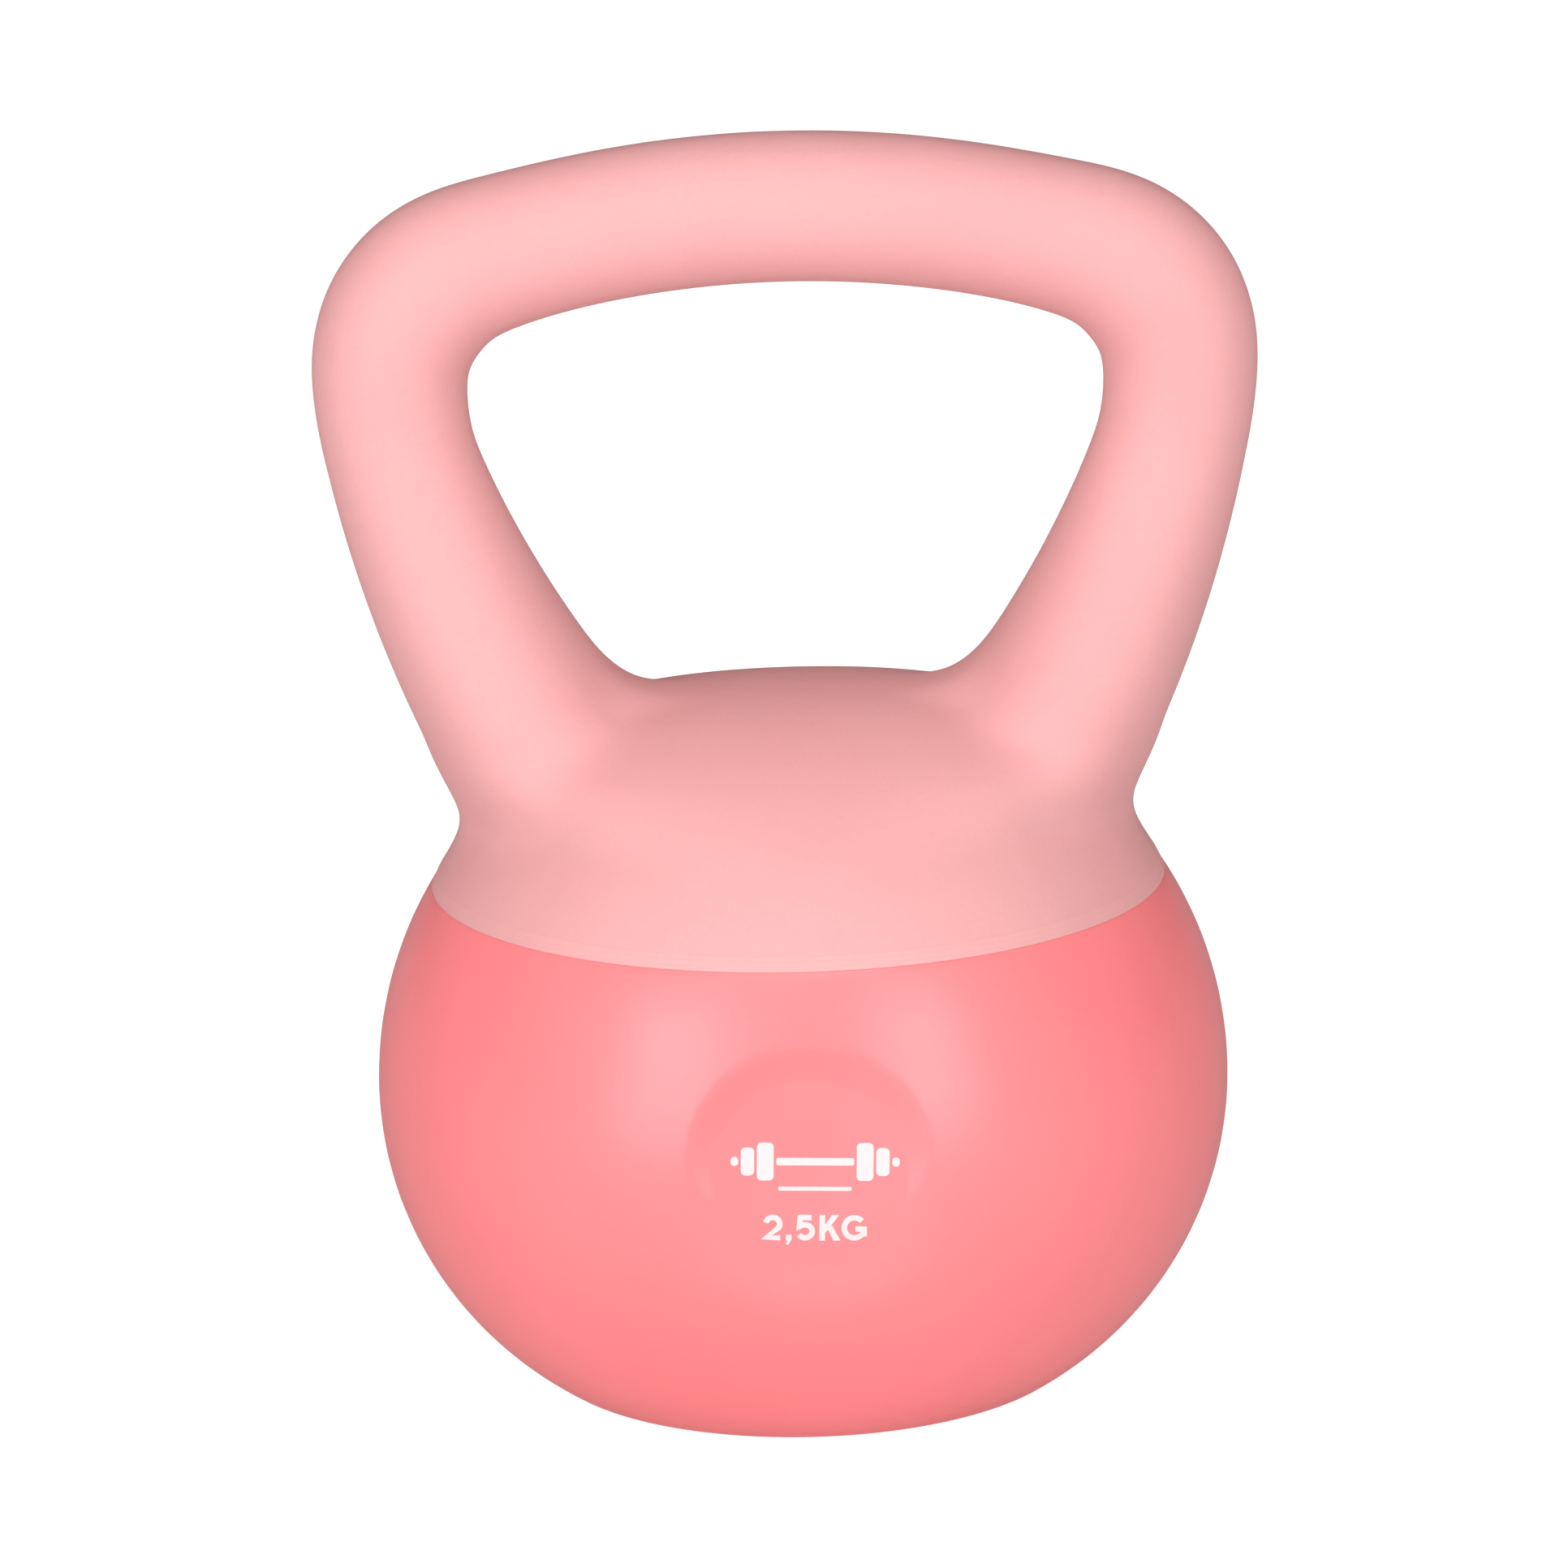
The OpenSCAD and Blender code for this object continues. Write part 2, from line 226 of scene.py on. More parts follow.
def make_plug():
    """Filler plug: a dished face with a groove round it, a head and a hollow stub that fills the port."""
    head, face, stub = plug_hi.x / MM, plug_lo.z / MM, PORT_R - 0.2
    loop = [(0, face + 0.5), (4.6, face + 0.5), (5.0, face + 0.1), (5.4, face), (9.6, face)]
    loop += [(9.9, face + 0.3), (10.5, face + 0.3), (stub, face), (head - 0.5, face)]
    loop += [(head - 0.15, face + 0.12), (head, face + 0.45), (head, face + 1.8), (head - 0.2, face + 2.0)]
    loop += [(stub, face + 2.0), (stub, PORT_TOP - 0.2), (stub - 0.2, PORT_TOP), (8.6, PORT_TOP)]
    loop += [(8.5, PORT_TOP - 0.1), (8.5, 3.9), (8.2, 3.8), (0, 3.8)]
    return revolve("filler_plug_face", loop, np.arange(0, 360, 4.0))


# ---------------------------------------------------------------- cap, legs and grip as one smooth skin
STEP = 0.3                            # spacing of the points of the two curves
DOME_TOP = 126.0
CROWN_R, CROWN_T = 90.0, 10.0         # flat crown of the dome, radius and angle
SHOULDER_R, FLANK_T = 73.1, 58.5      # its shoulder, then a straight flank at this slope
BEVEL_W, BEVEL_TURN = 2.3, 6.0        # fine bevel along the edge
SADDLE_RATE, SADDLE_REACH = 0.39, 15.0
SADDLE_LOW, SADDLE_HIGH = 104.0, 118.0        # heights between which the crown is drawn out sideways

# bends of half the handle as (radius, angle): grip, corner, upper leg, lower leg
HANDLE_ARCS = [(188.2, 16.8), (21.4, 73.2), (60.7, 16.7), (205.9, 17.2)]
HANDLE_RUNS = [r * math.radians(a) for r, a in HANDLE_ARCS]
HANDLE_EASE = 4.0
CORNER_MID = HANDLE_RUNS[0] + HANDLE_RUNS[1] / 2 - 1.0
CORNER_SWELL, CORNER_SPAN = 1.2, 16.0
LEG_FLARE, FLARE_FROM = 0.083, CORNER_MID + 29.1
ROOT_DEEP, ROOT_FROM, ROOT_TO = 0.42, 86.0, 154.0     # the legs grow deeper towards their roots
BLEND_IN, BLEND_FRONT, BLEND_OUT = 15.0, 8.0, 13.0    # fillets at the window, in front and at the neck

EDGE_Z = SEAM_Z + 0.05                # the skin's lower edge
LOOSE_Z = SEAM_Z - 3.0                # vertices lower than this are cut away later and stay put
VOXEL = 1.15


def dome_curve():
    """Profile of the cap from the axis outwards, bends eased into each other, a fine bevel along its edge."""
    k = math.radians(1)
    run = (SEAM_R - SHOULDER_R * (math.sin(FLANK_T * k) - math.sin(CROWN_T * k))
           - CROWN_R * math.sin(CROWN_T * k)) / math.cos(FLANK_T * k)
    bend = []
    for radius, angle in ((CROWN_R, CROWN_T), (SHOULDER_R, FLANK_T - CROWN_T)):
        bend += [1 / radius] * int(round(radius * angle * k / STEP))
    edge = len(bend) * STEP + run
    bend += [0.0] * int(round((run + 6) / STEP))
    bend = np.array(bend)
    half = int(3.0 / STEP)                                    # the bends ease over 3 mm either way
    ease = np.hanning(2 * half + 1)
    ease /= ease.sum()
    bend = np.convolve(np.concatenate([bend[half:0:-1], bend, [bend[-1]] * half]), ease, "valid")
    turn = np.concatenate([[0], np.cumsum((bend[1:] + bend[:-1]) / 2 * STEP)])
    at = np.arange(len(turn)) * STEP
    turn = turn + BEVEL_TURN * k * np.clip((at - (edge - BEVEL_W)) / 0.6, 0, 1)
    mid = (turn[1:] + turn[:-1]) / 2
    r = np.concatenate([[0], np.cumsum(np.cos(mid) * STEP)])
    drop = np.concatenate([[0], np.cumsum(np.sin(mid) * STEP)])
    full = np.interp(SEAM_R, r, drop)
    return np.stack([r, SEAM_Z + (full - drop) * (DOME_TOP - SEAM_Z) / full], 1)


def handle_curve():
    """Centreline of the right half of the handle in the XZ plane, its bends eased into each other."""
    at = np.arange(0, sum(HANDLE_RUNS), STEP)
    bend = np.full_like(at, 1 / HANDLE_ARCS[0][0])
    for i in range(3):
        ends = sum(HANDLE_RUNS[:i + 1])
        change = 1 / HANDLE_ARCS[i + 1][0] - 1 / HANDLE_ARCS[i][0]
        bend += change * 0.5 * (1 + np.tanh((at - ends) / HANDLE_EASE))
    turn = np.concatenate([[0], np.cumsum((bend[1:] + bend[:-1]) / 2 * STEP)])
    mid = (turn[1:] + turn[:-1]) / 2
    x = np.concatenate([[0], np.cumsum(np.cos(mid) * STEP)])
    z = GRIP_Z - np.concatenate([[0], np.cumsum(np.sin(mid) * STEP)])
    return np.stack([x, z], 1)


def leg_radius(s):
    """Radius of the soft skin along the handle: fuller in the corners, flaring down the legs."""
    swell = CORNER_SWELL * np.exp(-((s - CORNER_MID) / CORNER_SPAN) ** 2)
    f = s - FLARE_FROM
    return GRIP_R + swell + LEG_FLARE * 0.5 * (f + np.sqrt(f * f + 9.0))


DOME = dome_curve()
RAIL = handle_curve()


def soft(value, lo, hi):
    """Eased step from 0 at lo to 1 at hi."""
    t = np.clip((value - lo) / (hi - lo), 0, 1)
    return t * t * (3 - 2 * t)


def nearest(pts, line):
    """Nearest point of a polyline to each 2-D point: (point, distance along it, unit tangent)."""
    a, b = line[:-1], line[1:]
    ab = b - a
    ab2 = (ab ** 2).sum(1)
    length = np.sqrt(ab2)
    start = np.concatenate([[0], np.cumsum(length)[:-1]])
    best, along, tang = (np.empty((len(pts), 2)), np.empty(len(pts)), np.empty((len(pts), 2)))
    for lo in range(0, len(pts), 20000):
        p = pts[lo:lo + 20000]
        d = (p[:, None, 0] - line[None, :, 0]) ** 2 + (p[:, None, 1] - line[None, :, 1]) ** 2
        j = d.argmin(1)
        out_d = np.full(len(p), np.inf)
        for off in (-1, 0):
            i = np.clip(j + off, 0, len(a) - 1)
            t = np.clip(((p - a[i]) * ab[i]).sum(1) / ab2[i], 0, 1)
            c = a[i] + ab[i] * t[:, None]
            dd = ((p - c) ** 2).sum(1)
            m = dd < out_d
            out_d[m] = dd[m]
            best[lo:lo + 20000][m] = c[m]
            along[lo:lo + 20000][m] = (start[i] + t * length[i])[m]
            tang[lo:lo + 20000][m] = (ab[i] / length[i][:, None])[m]
    return best, along, tang


def dome_field(p):
    """Cap dome, round at the seam; between the legs its crown is drawn out sideways into a saddle."""
    rise = np.clip((p[:, 2] - SADDLE_LOW) / (SADDLE_HIGH - SADDLE_LOW), 0, 1)
    ease = soft(p[:, 2], SADDLE_LOW, SADDLE_HIGH)
    pull = np.tanh(np.abs(p[:, 0]) * SADDLE_RATE / SADDLE_REACH)
    x = p[:, 0] - np.sign(p[:, 0]) * SADDLE_REACH * pull * ease
    x_dx = 1 - SADDLE_RATE * (1 - pull * pull) * ease
    x_dz = -np.sign(p[:, 0]) * SADDLE_REACH * pull * 6 * rise * (1 - rise) / (SADDLE_HIGH - SADDLE_LOW)
    r = np.hypot(x, p[:, 1])
    q = np.stack([r, p[:, 2]], 1)
    c, _, t = nearest(q, DOME)
    n2 = np.stack([-t[:, 1], t[:, 0]], 1)
    d = ((q - c) * n2).sum(1)
    rr = np.maximum(r, 1e-6)
    gx = n2[:, 0] * x / rr
    return d, np.stack([gx * x_dx, n2[:, 0] * p[:, 1] / rr, n2[:, 1] + gx * x_dz], 1)


def handle_field(p):
    """Distance to the handle's skin, with its gradient."""
    q = np.stack([np.abs(p[:, 0]), p[:, 2]], 1)
    c, s, t = nearest(q, RAIL)
    e = q - c
    deep = 1 + ROOT_DEEP * soft(s, ROOT_FROM, ROOT_TO)
    y = p[:, 1] / deep
    d3 = np.sqrt((e ** 2).sum(1) + y ** 2)
    rad = leg_radius(s)
    slope = (leg_radius(s + 0.5) - leg_radius(s - 0.5))
    dd = np.maximum(d3, 1e-6)
    sx = np.where(p[:, 0] < 0, -1.0, 1.0)
    g = np.stack([(e[:, 0] / dd - slope * t[:, 0]) * sx, y / dd / deep, e[:, 1] / dd - slope * t[:, 1]], 1)
    return d3 - rad, g


def smooth_min(a, ga, b, gb, k):
    """Rounded union of two fields, with gradients."""
    h = np.maximum(k - np.abs(a - b), 0) / k
    d = np.minimum(a, b) - h ** 3 * k / 6
    w = h * h / 2
    wa = np.where(a < b, 1 - w, w)[:, None]
    return d, ga * wa + gb * (1 - wa)


def blend_width(p):
    """How wide the legs melt into the dome, at the window, in front and at the neck."""
    away = np.abs(p[:, 1])
    width = BLEND_IN + (BLEND_OUT - BLEND_IN) * soft(np.abs(p[:, 0]), 30, 54)
    return width + (BLEND_FRONT - width) * soft(away, 4, 16)


def skin_field(p):
    """Cap, legs and grip as one field: zero on the skin, positive outside."""
    d, g = dome_field(p)
    dh, gh = handle_field(p)
    return smooth_min(d, g, dh, gh, blend_width(p))


def rough_skin():
    """Overlapping rough tube and dome that the fine skin starts from."""
    ring = 40
    t = np.linspace(0, 2 * math.pi, ring, endpoint=False)
    idx = np.arange(0, len(RAIL), 8)
    pts = RAIL[idx]
    tan = np.gradient(pts, axis=0)
    tan /= np.linalg.norm(tan, axis=1)[:, None]
    nrm = np.stack([-tan[:, 1], tan[:, 0]], 1)
    seq = [(-1, i) for i in range(len(idx) - 1, 0, -1)] + [(1, i) for i in range(len(idx))]
    verts, faces = [], []
    for sg, i in seq:
        rad = leg_radius(np.array([idx[i] * STEP]))[0]
        for a in t:
            verts.append((sg * (pts[i, 0] + rad * math.cos(a) * nrm[i, 0]), rad * math.sin(a),
                          pts[i, 1] + rad * math.cos(a) * nrm[i, 1]))
    for a in range(0, (len(seq) - 1) * ring, ring):
        for k in range(ring):
            m = (k + 1) % ring
            faces.append((a + k, a + m, a + ring + m, a + ring + k))
    faces.append(tuple(range(ring)))
    faces.append(tuple(range(len(verts) - ring, len(verts))))
    tube = mesh_object("rough_tube", verts, faces)
    outward(tube)
    prof = [tuple(q) for q in DOME[::10]]
    prof = [(0.0, prof[0][1])] + prof[1:] + [tuple(DOME[-1]), (0.0, DOME[-1][1])]
    dome = revolve("rough_dome", prof, np.arange(0, 360, 4.0))
    bm = bmesh.new()
    for ob in (tube, dome):
        bm.from_mesh(ob.data)
    me = bpy.data.meshes.new("cap_handle_skin")
    bm.to_mesh(me)
    bm.free()
    for ob in (tube, dome):
        old = ob.data
        bpy.data.objects.remove(ob)
        bpy.data.meshes.remove(old)
    ob = bpy.data.objects.new("cap_handle_skin", me)
    bpy.context.scene.collection.objects.link(ob)
    return ob


def coords(me):
    v = np.empty(len(me.vertices) * 3)
    me.vertices.foreach_get("co", v)
    return v.reshape(-1, 3) / MM


def settle(v, times):
    """Moves the vertices onto the ideal skin."""
    v = v.copy()
    for _ in range(times):
        m = v[:, 2] > LOOSE_Z
        d, g = skin_field(v[m])
        g2 = np.maximum((g ** 2).sum(1), 0.2)
        v[m] -= g * np.clip(d / g2, -1.5, 1.5)[:, None]
    return v


def relax(v, me, times, share=0.5):
    """Evens out the spacing of the vertices, each kept on the ideal skin."""
    e = np.empty(len(me.edges) * 2, dtype=np.int64)
    me.edges.foreach_get("vertices", e)
    e = e.reshape(-1, 2)
    n = np.bincount(e.ravel(), minlength=len(v))[:, None].astype(float)
    for _ in range(times):
        acc = np.zeros_like(v)
        for c in range(3):
            acc[:, c] = np.bincount(e[:, 0], v[e[:, 1], c], len(v))
            acc[:, c] += np.bincount(e[:, 1], v[e[:, 0], c], len(v))
        v = v + np.where(v[:, 2:] > LOOSE_Z, share, 0) * (acc / n - v)
        v = settle(v, 1)
    return v


def in_edge_band(co):
    """Whether a point lies in the narrow band along the cap's edge that gets finer faces."""
    return (EDGE_Z - 1.5) * MM < co.z < (EDGE_Z + 3.4) * MM and math.hypot(co.x, co.y) > (SEAM_R - 6) * MM


def make_skin():
    """The rough skin remeshed, settled on the ideal one, cut at the seam and closed round the deck."""
    ob = rough_skin()
    mod = ob.modifiers.new("voxel", "REMESH")
    mod.mode = "VOXEL"
    mod.voxel_size = VOXEL * MM
    dg = bpy.context.evaluated_depsgraph_get()
    me = bpy.data.meshes.new_from_object(ob.evaluated_get(dg))
    ob.modifiers.clear()
    old, ob.data = ob.data, me
    bpy.data.meshes.remove(old)
    v = settle(coords(me), 6)
    v = relax(v, me, 6)
    me.vertices.foreach_set("co", (v * MM).ravel())
    me.update()
    # finer faces along the edge, then a clean cut, an underside and the hollow over the deck
    bm = bmesh.new()
    bm.from_mesh(me)
    for _ in range(2):
        edges = [e for e in bm.edges if all(in_edge_band(w.co) for w in e.verts)]
        bmesh.ops.subdivide_edges(bm, edges=edges, cuts=1, use_grid_fill=True)
    bmesh.ops.triangulate(bm, faces=[f for f in bm.faces if len(f.verts) > 4])
    bm.to_mesh(me)
    bm.free()
    v = settle(coords(me), 4)
    v = relax(v, me, 3, 0.4)
    v = settle(v, 3)
    me.vertices.foreach_set("co", (v * MM).ravel())
    bm = bmesh.new()
    bm.from_mesh(me)
    everything = bm.verts[:] + bm.edges[:] + bm.faces[:]
    bmesh.ops.bisect_plane(bm, geom=everything, plane_co=(0, 0, EDGE_Z * MM), plane_no=(0, 0, 1),
                           clear_inner=True)
    rim = [e for e in bm.edges if e.is_boundary]
    hollow = [(SEAM_R - 0.5, EDGE_Z - 0.02), (61.2, EDGE_Z), (57.9, 96.2), (52.0, 100.5), (46.0, 104.5),
              (38.0, 108.6), (24.0, 112.0), (8.0, 113.6)]
    for r, z in hollow:
        made = bmesh.ops.extrude_edge_only(bm, edges=rim)["geom"]
        for w in (x for x in made if isinstance(x, bmesh.types.BMVert)):
            k = r * MM / math.hypot(w.co.x, w.co.y)
            w.co = (w.co.x * k, w.co.y * k, z * MM)
        rim = [x for x in made if isinstance(x, bmesh.types.BMEdge)]
    bmesh.ops.holes_fill(bm, edges=rim, sides=0)
    for e in bm.edges:
        if len(e.link_faces) == 2 and all(abs(w.co.z - EDGE_Z * MM) < 1e-5 for w in e.verts):
            if math.hypot(*e.verts[0].co.xy) > (SEAM_R - 0.3) * MM:
                e.smooth = False
    bm.to_mesh(me)
    bm.free()
    me.polygons.foreach_set("use_smooth", [True] * len(me.polygons))
    me.update()
    outward(ob)
    me.name = "cap_handle_skin"
    return ob


# ---------------------------------------------------------------- materials
def lin(c):
    """Linear colour of a display colour given as 0 to 255."""
    return tuple((x / 255 / 12.92 if x / 255 <= 0.04045 else ((x / 255 + 0.055) / 1.055) ** 2.4) for x in c)


class Mat:
    """A node material with short calls."""

    def __init__(self, name):
        self.m = bpy.data.materials.new(name)
        self.m.use_nodes = True
        self.t = self.m.node_tree
        self.t.nodes.clear()
        self.out = self.t.nodes.new("ShaderNodeOutputMaterial")
        self.bsdf = self.t.nodes.new("ShaderNodeBsdfPrincipled")
        self.t.links.new(self.bsdf.outputs[0], self.out.inputs[0])
        self.pos = self.t.nodes.new("ShaderNodeNewGeometry").outputs["Position"]

    def put(self, sock, value):
        if isinstance(value, bpy.types.NodeSocket):
            self.t.links.new(value, sock)
        else:
            sock.default_value = value

    def node(self, kind, outs=0, **ins):
        n = self.t.nodes.new(kind)
        for key, value in ins.items():
            if key.startswith("_"):
                setattr(n, key[1:], value)
            else:
                self.put(n.inputs[key.replace("__", " ")], value)
        return n.outputs[outs]

    def noise(self, scale, detail=3.0, rough=0.5, pos=None):
        where = pos or self.pos
        return self.node("ShaderNodeTexNoise", Vector=where, Scale=scale, Detail=detail, Roughness=rough)

    def math(self, op, *values):
        n = self.t.nodes.new("ShaderNodeMath")
        n.operation = op
        for i, x in enumerate(values):
            self.put(n.inputs[i], x)
        return n.outputs[0]

    def span(self, value, lo, hi, to_lo=0.0, to_hi=1.0):
        """Eased step of a value from lo..hi to to_lo..to_hi."""
        n = self.t.nodes.new("ShaderNodeMapRange")
        n.interpolation_type = "SMOOTHSTEP"
        for i, x in enumerate((value, lo, hi, to_lo, to_hi)):
            self.put(n.inputs[i], x)
        return n.outputs[0]

    def mix(self, fac, a, b):
        n = self.t.nodes.new("ShaderNodeMix")
        n.data_type = "RGBA"
        self.put(n.inputs[0], fac)
        self.put(n.inputs[6], a if isinstance(a, bpy.types.NodeSocket) else (*a, 1))
        self.put(n.inputs[7], b if isinstance(b, bpy.types.NodeSocket) else (*b, 1))
        return n.outputs[2]

    def bump(self, height, strength, distance, normal=None):
        n = self.t.nodes.new("ShaderNodeBump")
        self.put(n.inputs["Strength"], strength)
        self.put(n.inputs["Distance"], distance)
        self.put(n.inputs["Height"], height)
        if normal is not None:
            self.put(n.inputs["Normal"], normal)
        return n.outputs[0]

    def xyz(self):
        n = self.t.nodes.new("ShaderNodeSeparateXYZ")
        self.put(n.inputs[0], self.pos)
        return n.outputs

    def set(self, **ins):
        for key, value in ins.items():
            if isinstance(value, tuple) and len(value) == 3 and key == "Base__Color":
                value = (*value, 1)
            self.put(self.bsdf.inputs[key.replace("__", " ")], value)
        return self.m


def skin_material():
    m = Mat("soft_touch_pvc")
    z = m.xyz()[2]
    base, pale, deep = (0.765, 0.355, 0.355), (0.775, 0.370, 0.370), (0.73, 0.328, 0.328)
    cloud = m.noise(22.0, 3.0, 0.55)
    fleck = m.noise(900.0, 2.0, 0.6)
    col = m.mix(m.span(cloud, 0.35, 0.65), base, pale)
    col = m.mix(m.math("MULTIPLY", m.span(fleck, 0.45, 0.75), 0.22), col, deep)
    # a hand's polish on the middle of the grip, and painted shade along the cap's rim just above the seam
    worn = m.span(z, 0.200, 0.214)
    rough = m.math("ADD", m.span(m.noise(60.0, 4.0), 0.3, 0.7, 0.56, 0.66), m.math("MULTIPLY", worn, -0.05))
    # painted shade: a patchy band just above the seam is mixed towards a darker, greyer pink
    low = m.span(z, (SEAM_Z + 2.6) * MM, (SEAM_Z + 2.0) * MM)
    painted_rim_shade = m.math("MULTIPLY", low, m.span(m.noise(35.0), 0.3, 0.7, 0.15, 0.32))
    col = m.mix(painted_rim_shade, col, lin((232, 170, 166)))
    grain = m.noise(2600.0, 3.0, 0.7)
    skin = m.noise(420.0, 3.0, 0.5)
    lines = m.node("ShaderNodeTexWave", _wave_type="BANDS", _bands_direction="Z", _wave_profile="SIN",
                   Vector=m.pos, Scale=330.0, Distortion=0.0)
    near = m.span(z, (SEAM_Z + 2.9) * MM, (SEAM_Z + 2.2) * MM)
    n = m.bump(m.math("MULTIPLY", lines, near), 0.35, 0.00012)
    n = m.bump(skin, 0.18, 0.0003, n)
    n = m.bump(grain, 0.22, 0.00012, n)
    return m.set(Base__Color=col, Roughness=rough, Normal=n, Specular__IOR__Level=0.35,
                 Subsurface__Weight=0.08, Subsurface__Radius=(1.0, 0.45, 0.40), Subsurface__Scale=0.002)


def ball_material():
    m = Mat("glossy_pvc")
    z = m.xyz()[2]
    base, pale, deep = (0.96, 0.222, 0.236), (0.965, 0.236, 0.251), (0.92, 0.200, 0.214)
    cloud = m.noise(16.0, 3.0, 0.5)
    col = m.mix(m.span(cloud, 0.35, 0.65), base, pale)
    col = m.mix(m.math("MULTIPLY", m.span(m.noise(700.0, 2.0), 0.5, 0.8), 0.15), col, deep)
    scuff_zone = m.span(z, 0.012, 0.0005)
    streak = m.node("ShaderNodeMapping", Vector=m.pos, Scale=(60.0, 60.0, 500.0))
    scuff = m.math("MULTIPLY", scuff_zone, m.span(m.noise(3.0, 5.0, 0.7, streak), 0.5, 0.72))
    col = m.mix(m.math("MULTIPLY", scuff, 0.35), col, lin((226, 150, 146)))
    hair = m.noise(4.0, 4.0, 0.8, m.node("ShaderNodeMapping", Vector=m.pos, Scale=(900.0, 40.0, 60.0),
                                         Rotation=(0.3, 0.5, 0.2)))
    rough = m.math("ADD", m.span(m.noise(45.0, 4.0), 0.3, 0.7, 0.30, 0.37), m.math("MULTIPLY", scuff, 0.25))
    rough = m.math("ADD", rough, m.span(hair, 0.66, 0.74, 0.0, 0.06))
    n = m.bump(m.noise(130.0, 2.0, 0.4), 0.10, 0.0004)
    n = m.bump(m.noise(1500.0, 2.0, 0.5), 0.05, 0.0001, n)
    return m.set(Base__Color=col, Roughness=rough, Normal=n, Specular__IOR__Level=0.5,
                 Subsurface__Weight=0.06, Subsurface__Radius=(1.0, 0.35, 0.35), Subsurface__Scale=0.002)


def print_material():
    m = Mat("white_print_ink")
    col = m.mix(m.span(m.noise(1200.0, 3.0), 0.4, 0.7), (0.82, 0.67, 0.67), (0.79, 0.64, 0.64))
    n = m.bump(m.noise(3000.0, 2.0), 0.15, 0.00005)
    return m.set(Base__Color=col, Roughness=m.span(m.noise(300.0), 0.3, 0.7, 0.45, 0.6), Normal=n)


def plug_material():
    m = Mat("plug_pvc")
    r = m.noise(40.0, 3.0)
    col = m.mix(m.span(r, 0.3, 0.7), lin((236, 128, 130)), lin((226, 116, 119)))
    n = m.bump(m.noise(900.0, 3.0), 0.2, 0.0001)
    return m.set(Base__Color=col, Roughness=m.span(r, 0.3, 0.7, 0.42, 0.55), Normal=n)


def steel_material(name, rgb, rough):
    m = Mat(name)
    brushed = m.noise(6.0, 4.0, 0.7, m.node("ShaderNodeMapping", Vector=m.pos, Scale=(400.0, 400.0, 20.0)))
    stain = m.noise(70.0, 4.0, 0.6)
    a = lin(rgb)
    col = m.mix(m.span(stain, 0.45, 0.75), a, tuple(x * 0.72 for x in a))
    n = m.bump(brushed, 0.12, 0.0001)
    rough = m.span(stain, 0.3, 0.8, rough, rough + 0.15)
    return m.set(Base__Color=col, Metallic=1.0, Roughness=rough, Normal=n)


def foam_material():
    m = Mat("open_cell_foam")
    cells = m.node("ShaderNodeTexVoronoi", Vector=m.pos, Scale=900.0)
    col = m.mix(m.span(cells, 0.1, 0.6), lin((205, 198, 184)), lin((228, 222, 210)))
    return m.set(Base__Color=col, Roughness=0.95, Normal=m.bump(cells, 0.6, 0.0005))


def sand_material():
    m = Mat("dry_sand")
    tone = m.noise(2200.0, 2.0)
    col = m.mix(m.span(tone, 0.35, 0.65), lin((178, 150, 112)), lin((214, 192, 156)))
    grains = m.node("ShaderNodeTexVoronoi", Vector=m.pos, Scale=2200.0)
    return m.set(Base__Color=col, Roughness=0.9, Normal=m.bump(grains, 0.8, 0.0004))


def rubber_material():
    m = Mat("gasket_rubber")
    t = m.noise(500.0, 3.0)
    col = m.mix(m.span(t, 0.3, 0.7), lin((34, 34, 36)), lin((48, 47, 49)))
    return m.set(Base__Color=col, Roughness=m.span(t, 0.3, 0.7, 0.6, 0.75), Normal=m.bump(t, 0.2, 0.0001))


def dress(ob, mat):
    """Gives a piece one material."""
    ob.data.materials.clear()
    ob.data.materials.append(mat)


# ---------------------------------------------------------------- print on the panel
PRINT_TURN = math.radians(-1.9)         # the print sits level in view while the seam leans a little
PRINT_STEP = 0.6                        # longest straight run of the ink, in millimetres
RULE_WIDE, RULE_THICK, RULE_GAP = 12.6, 0.7, 1.05


def on_panel(x, y, lift):
    """Point of the panel's surface at x across and y up, lifted by a little."""
    c, q = math.cos(PRINT_TURN), math.sin(PRINT_TURN)
    a, b = x * c - y * q, x * q + y * c
    return Vector(PANEL_MID + np.array([a, 0, 0]) + PANEL_UP * b + PANEL_OUT * (panel_surface(a, b) + lift))


def finer(outline):
    """The same outline with its long runs split, so that the ink follows the curved panel."""
    rungs = [(np.array(outline[i]), np.array(outline[-1 - i])) for i in range((len(outline) + 1) // 2)]
    fine = rungs[:1]
    for (a0, b0), (a1, b1) in zip(rungs, rungs[1:]):
        parts = math.ceil(max(math.dist(a0, a1), math.dist(b0, b1), PRINT_STEP) / PRINT_STEP)
        fine += [(a0 + (a1 - a0) * k / parts, b0 + (b1 - b0) * k / parts) for k in range(1, parts + 1)]
    back = fine[:-1] if len(outline) % 2 else fine
    return [a for a, _ in fine] + [b for _, b in back[::-1]]


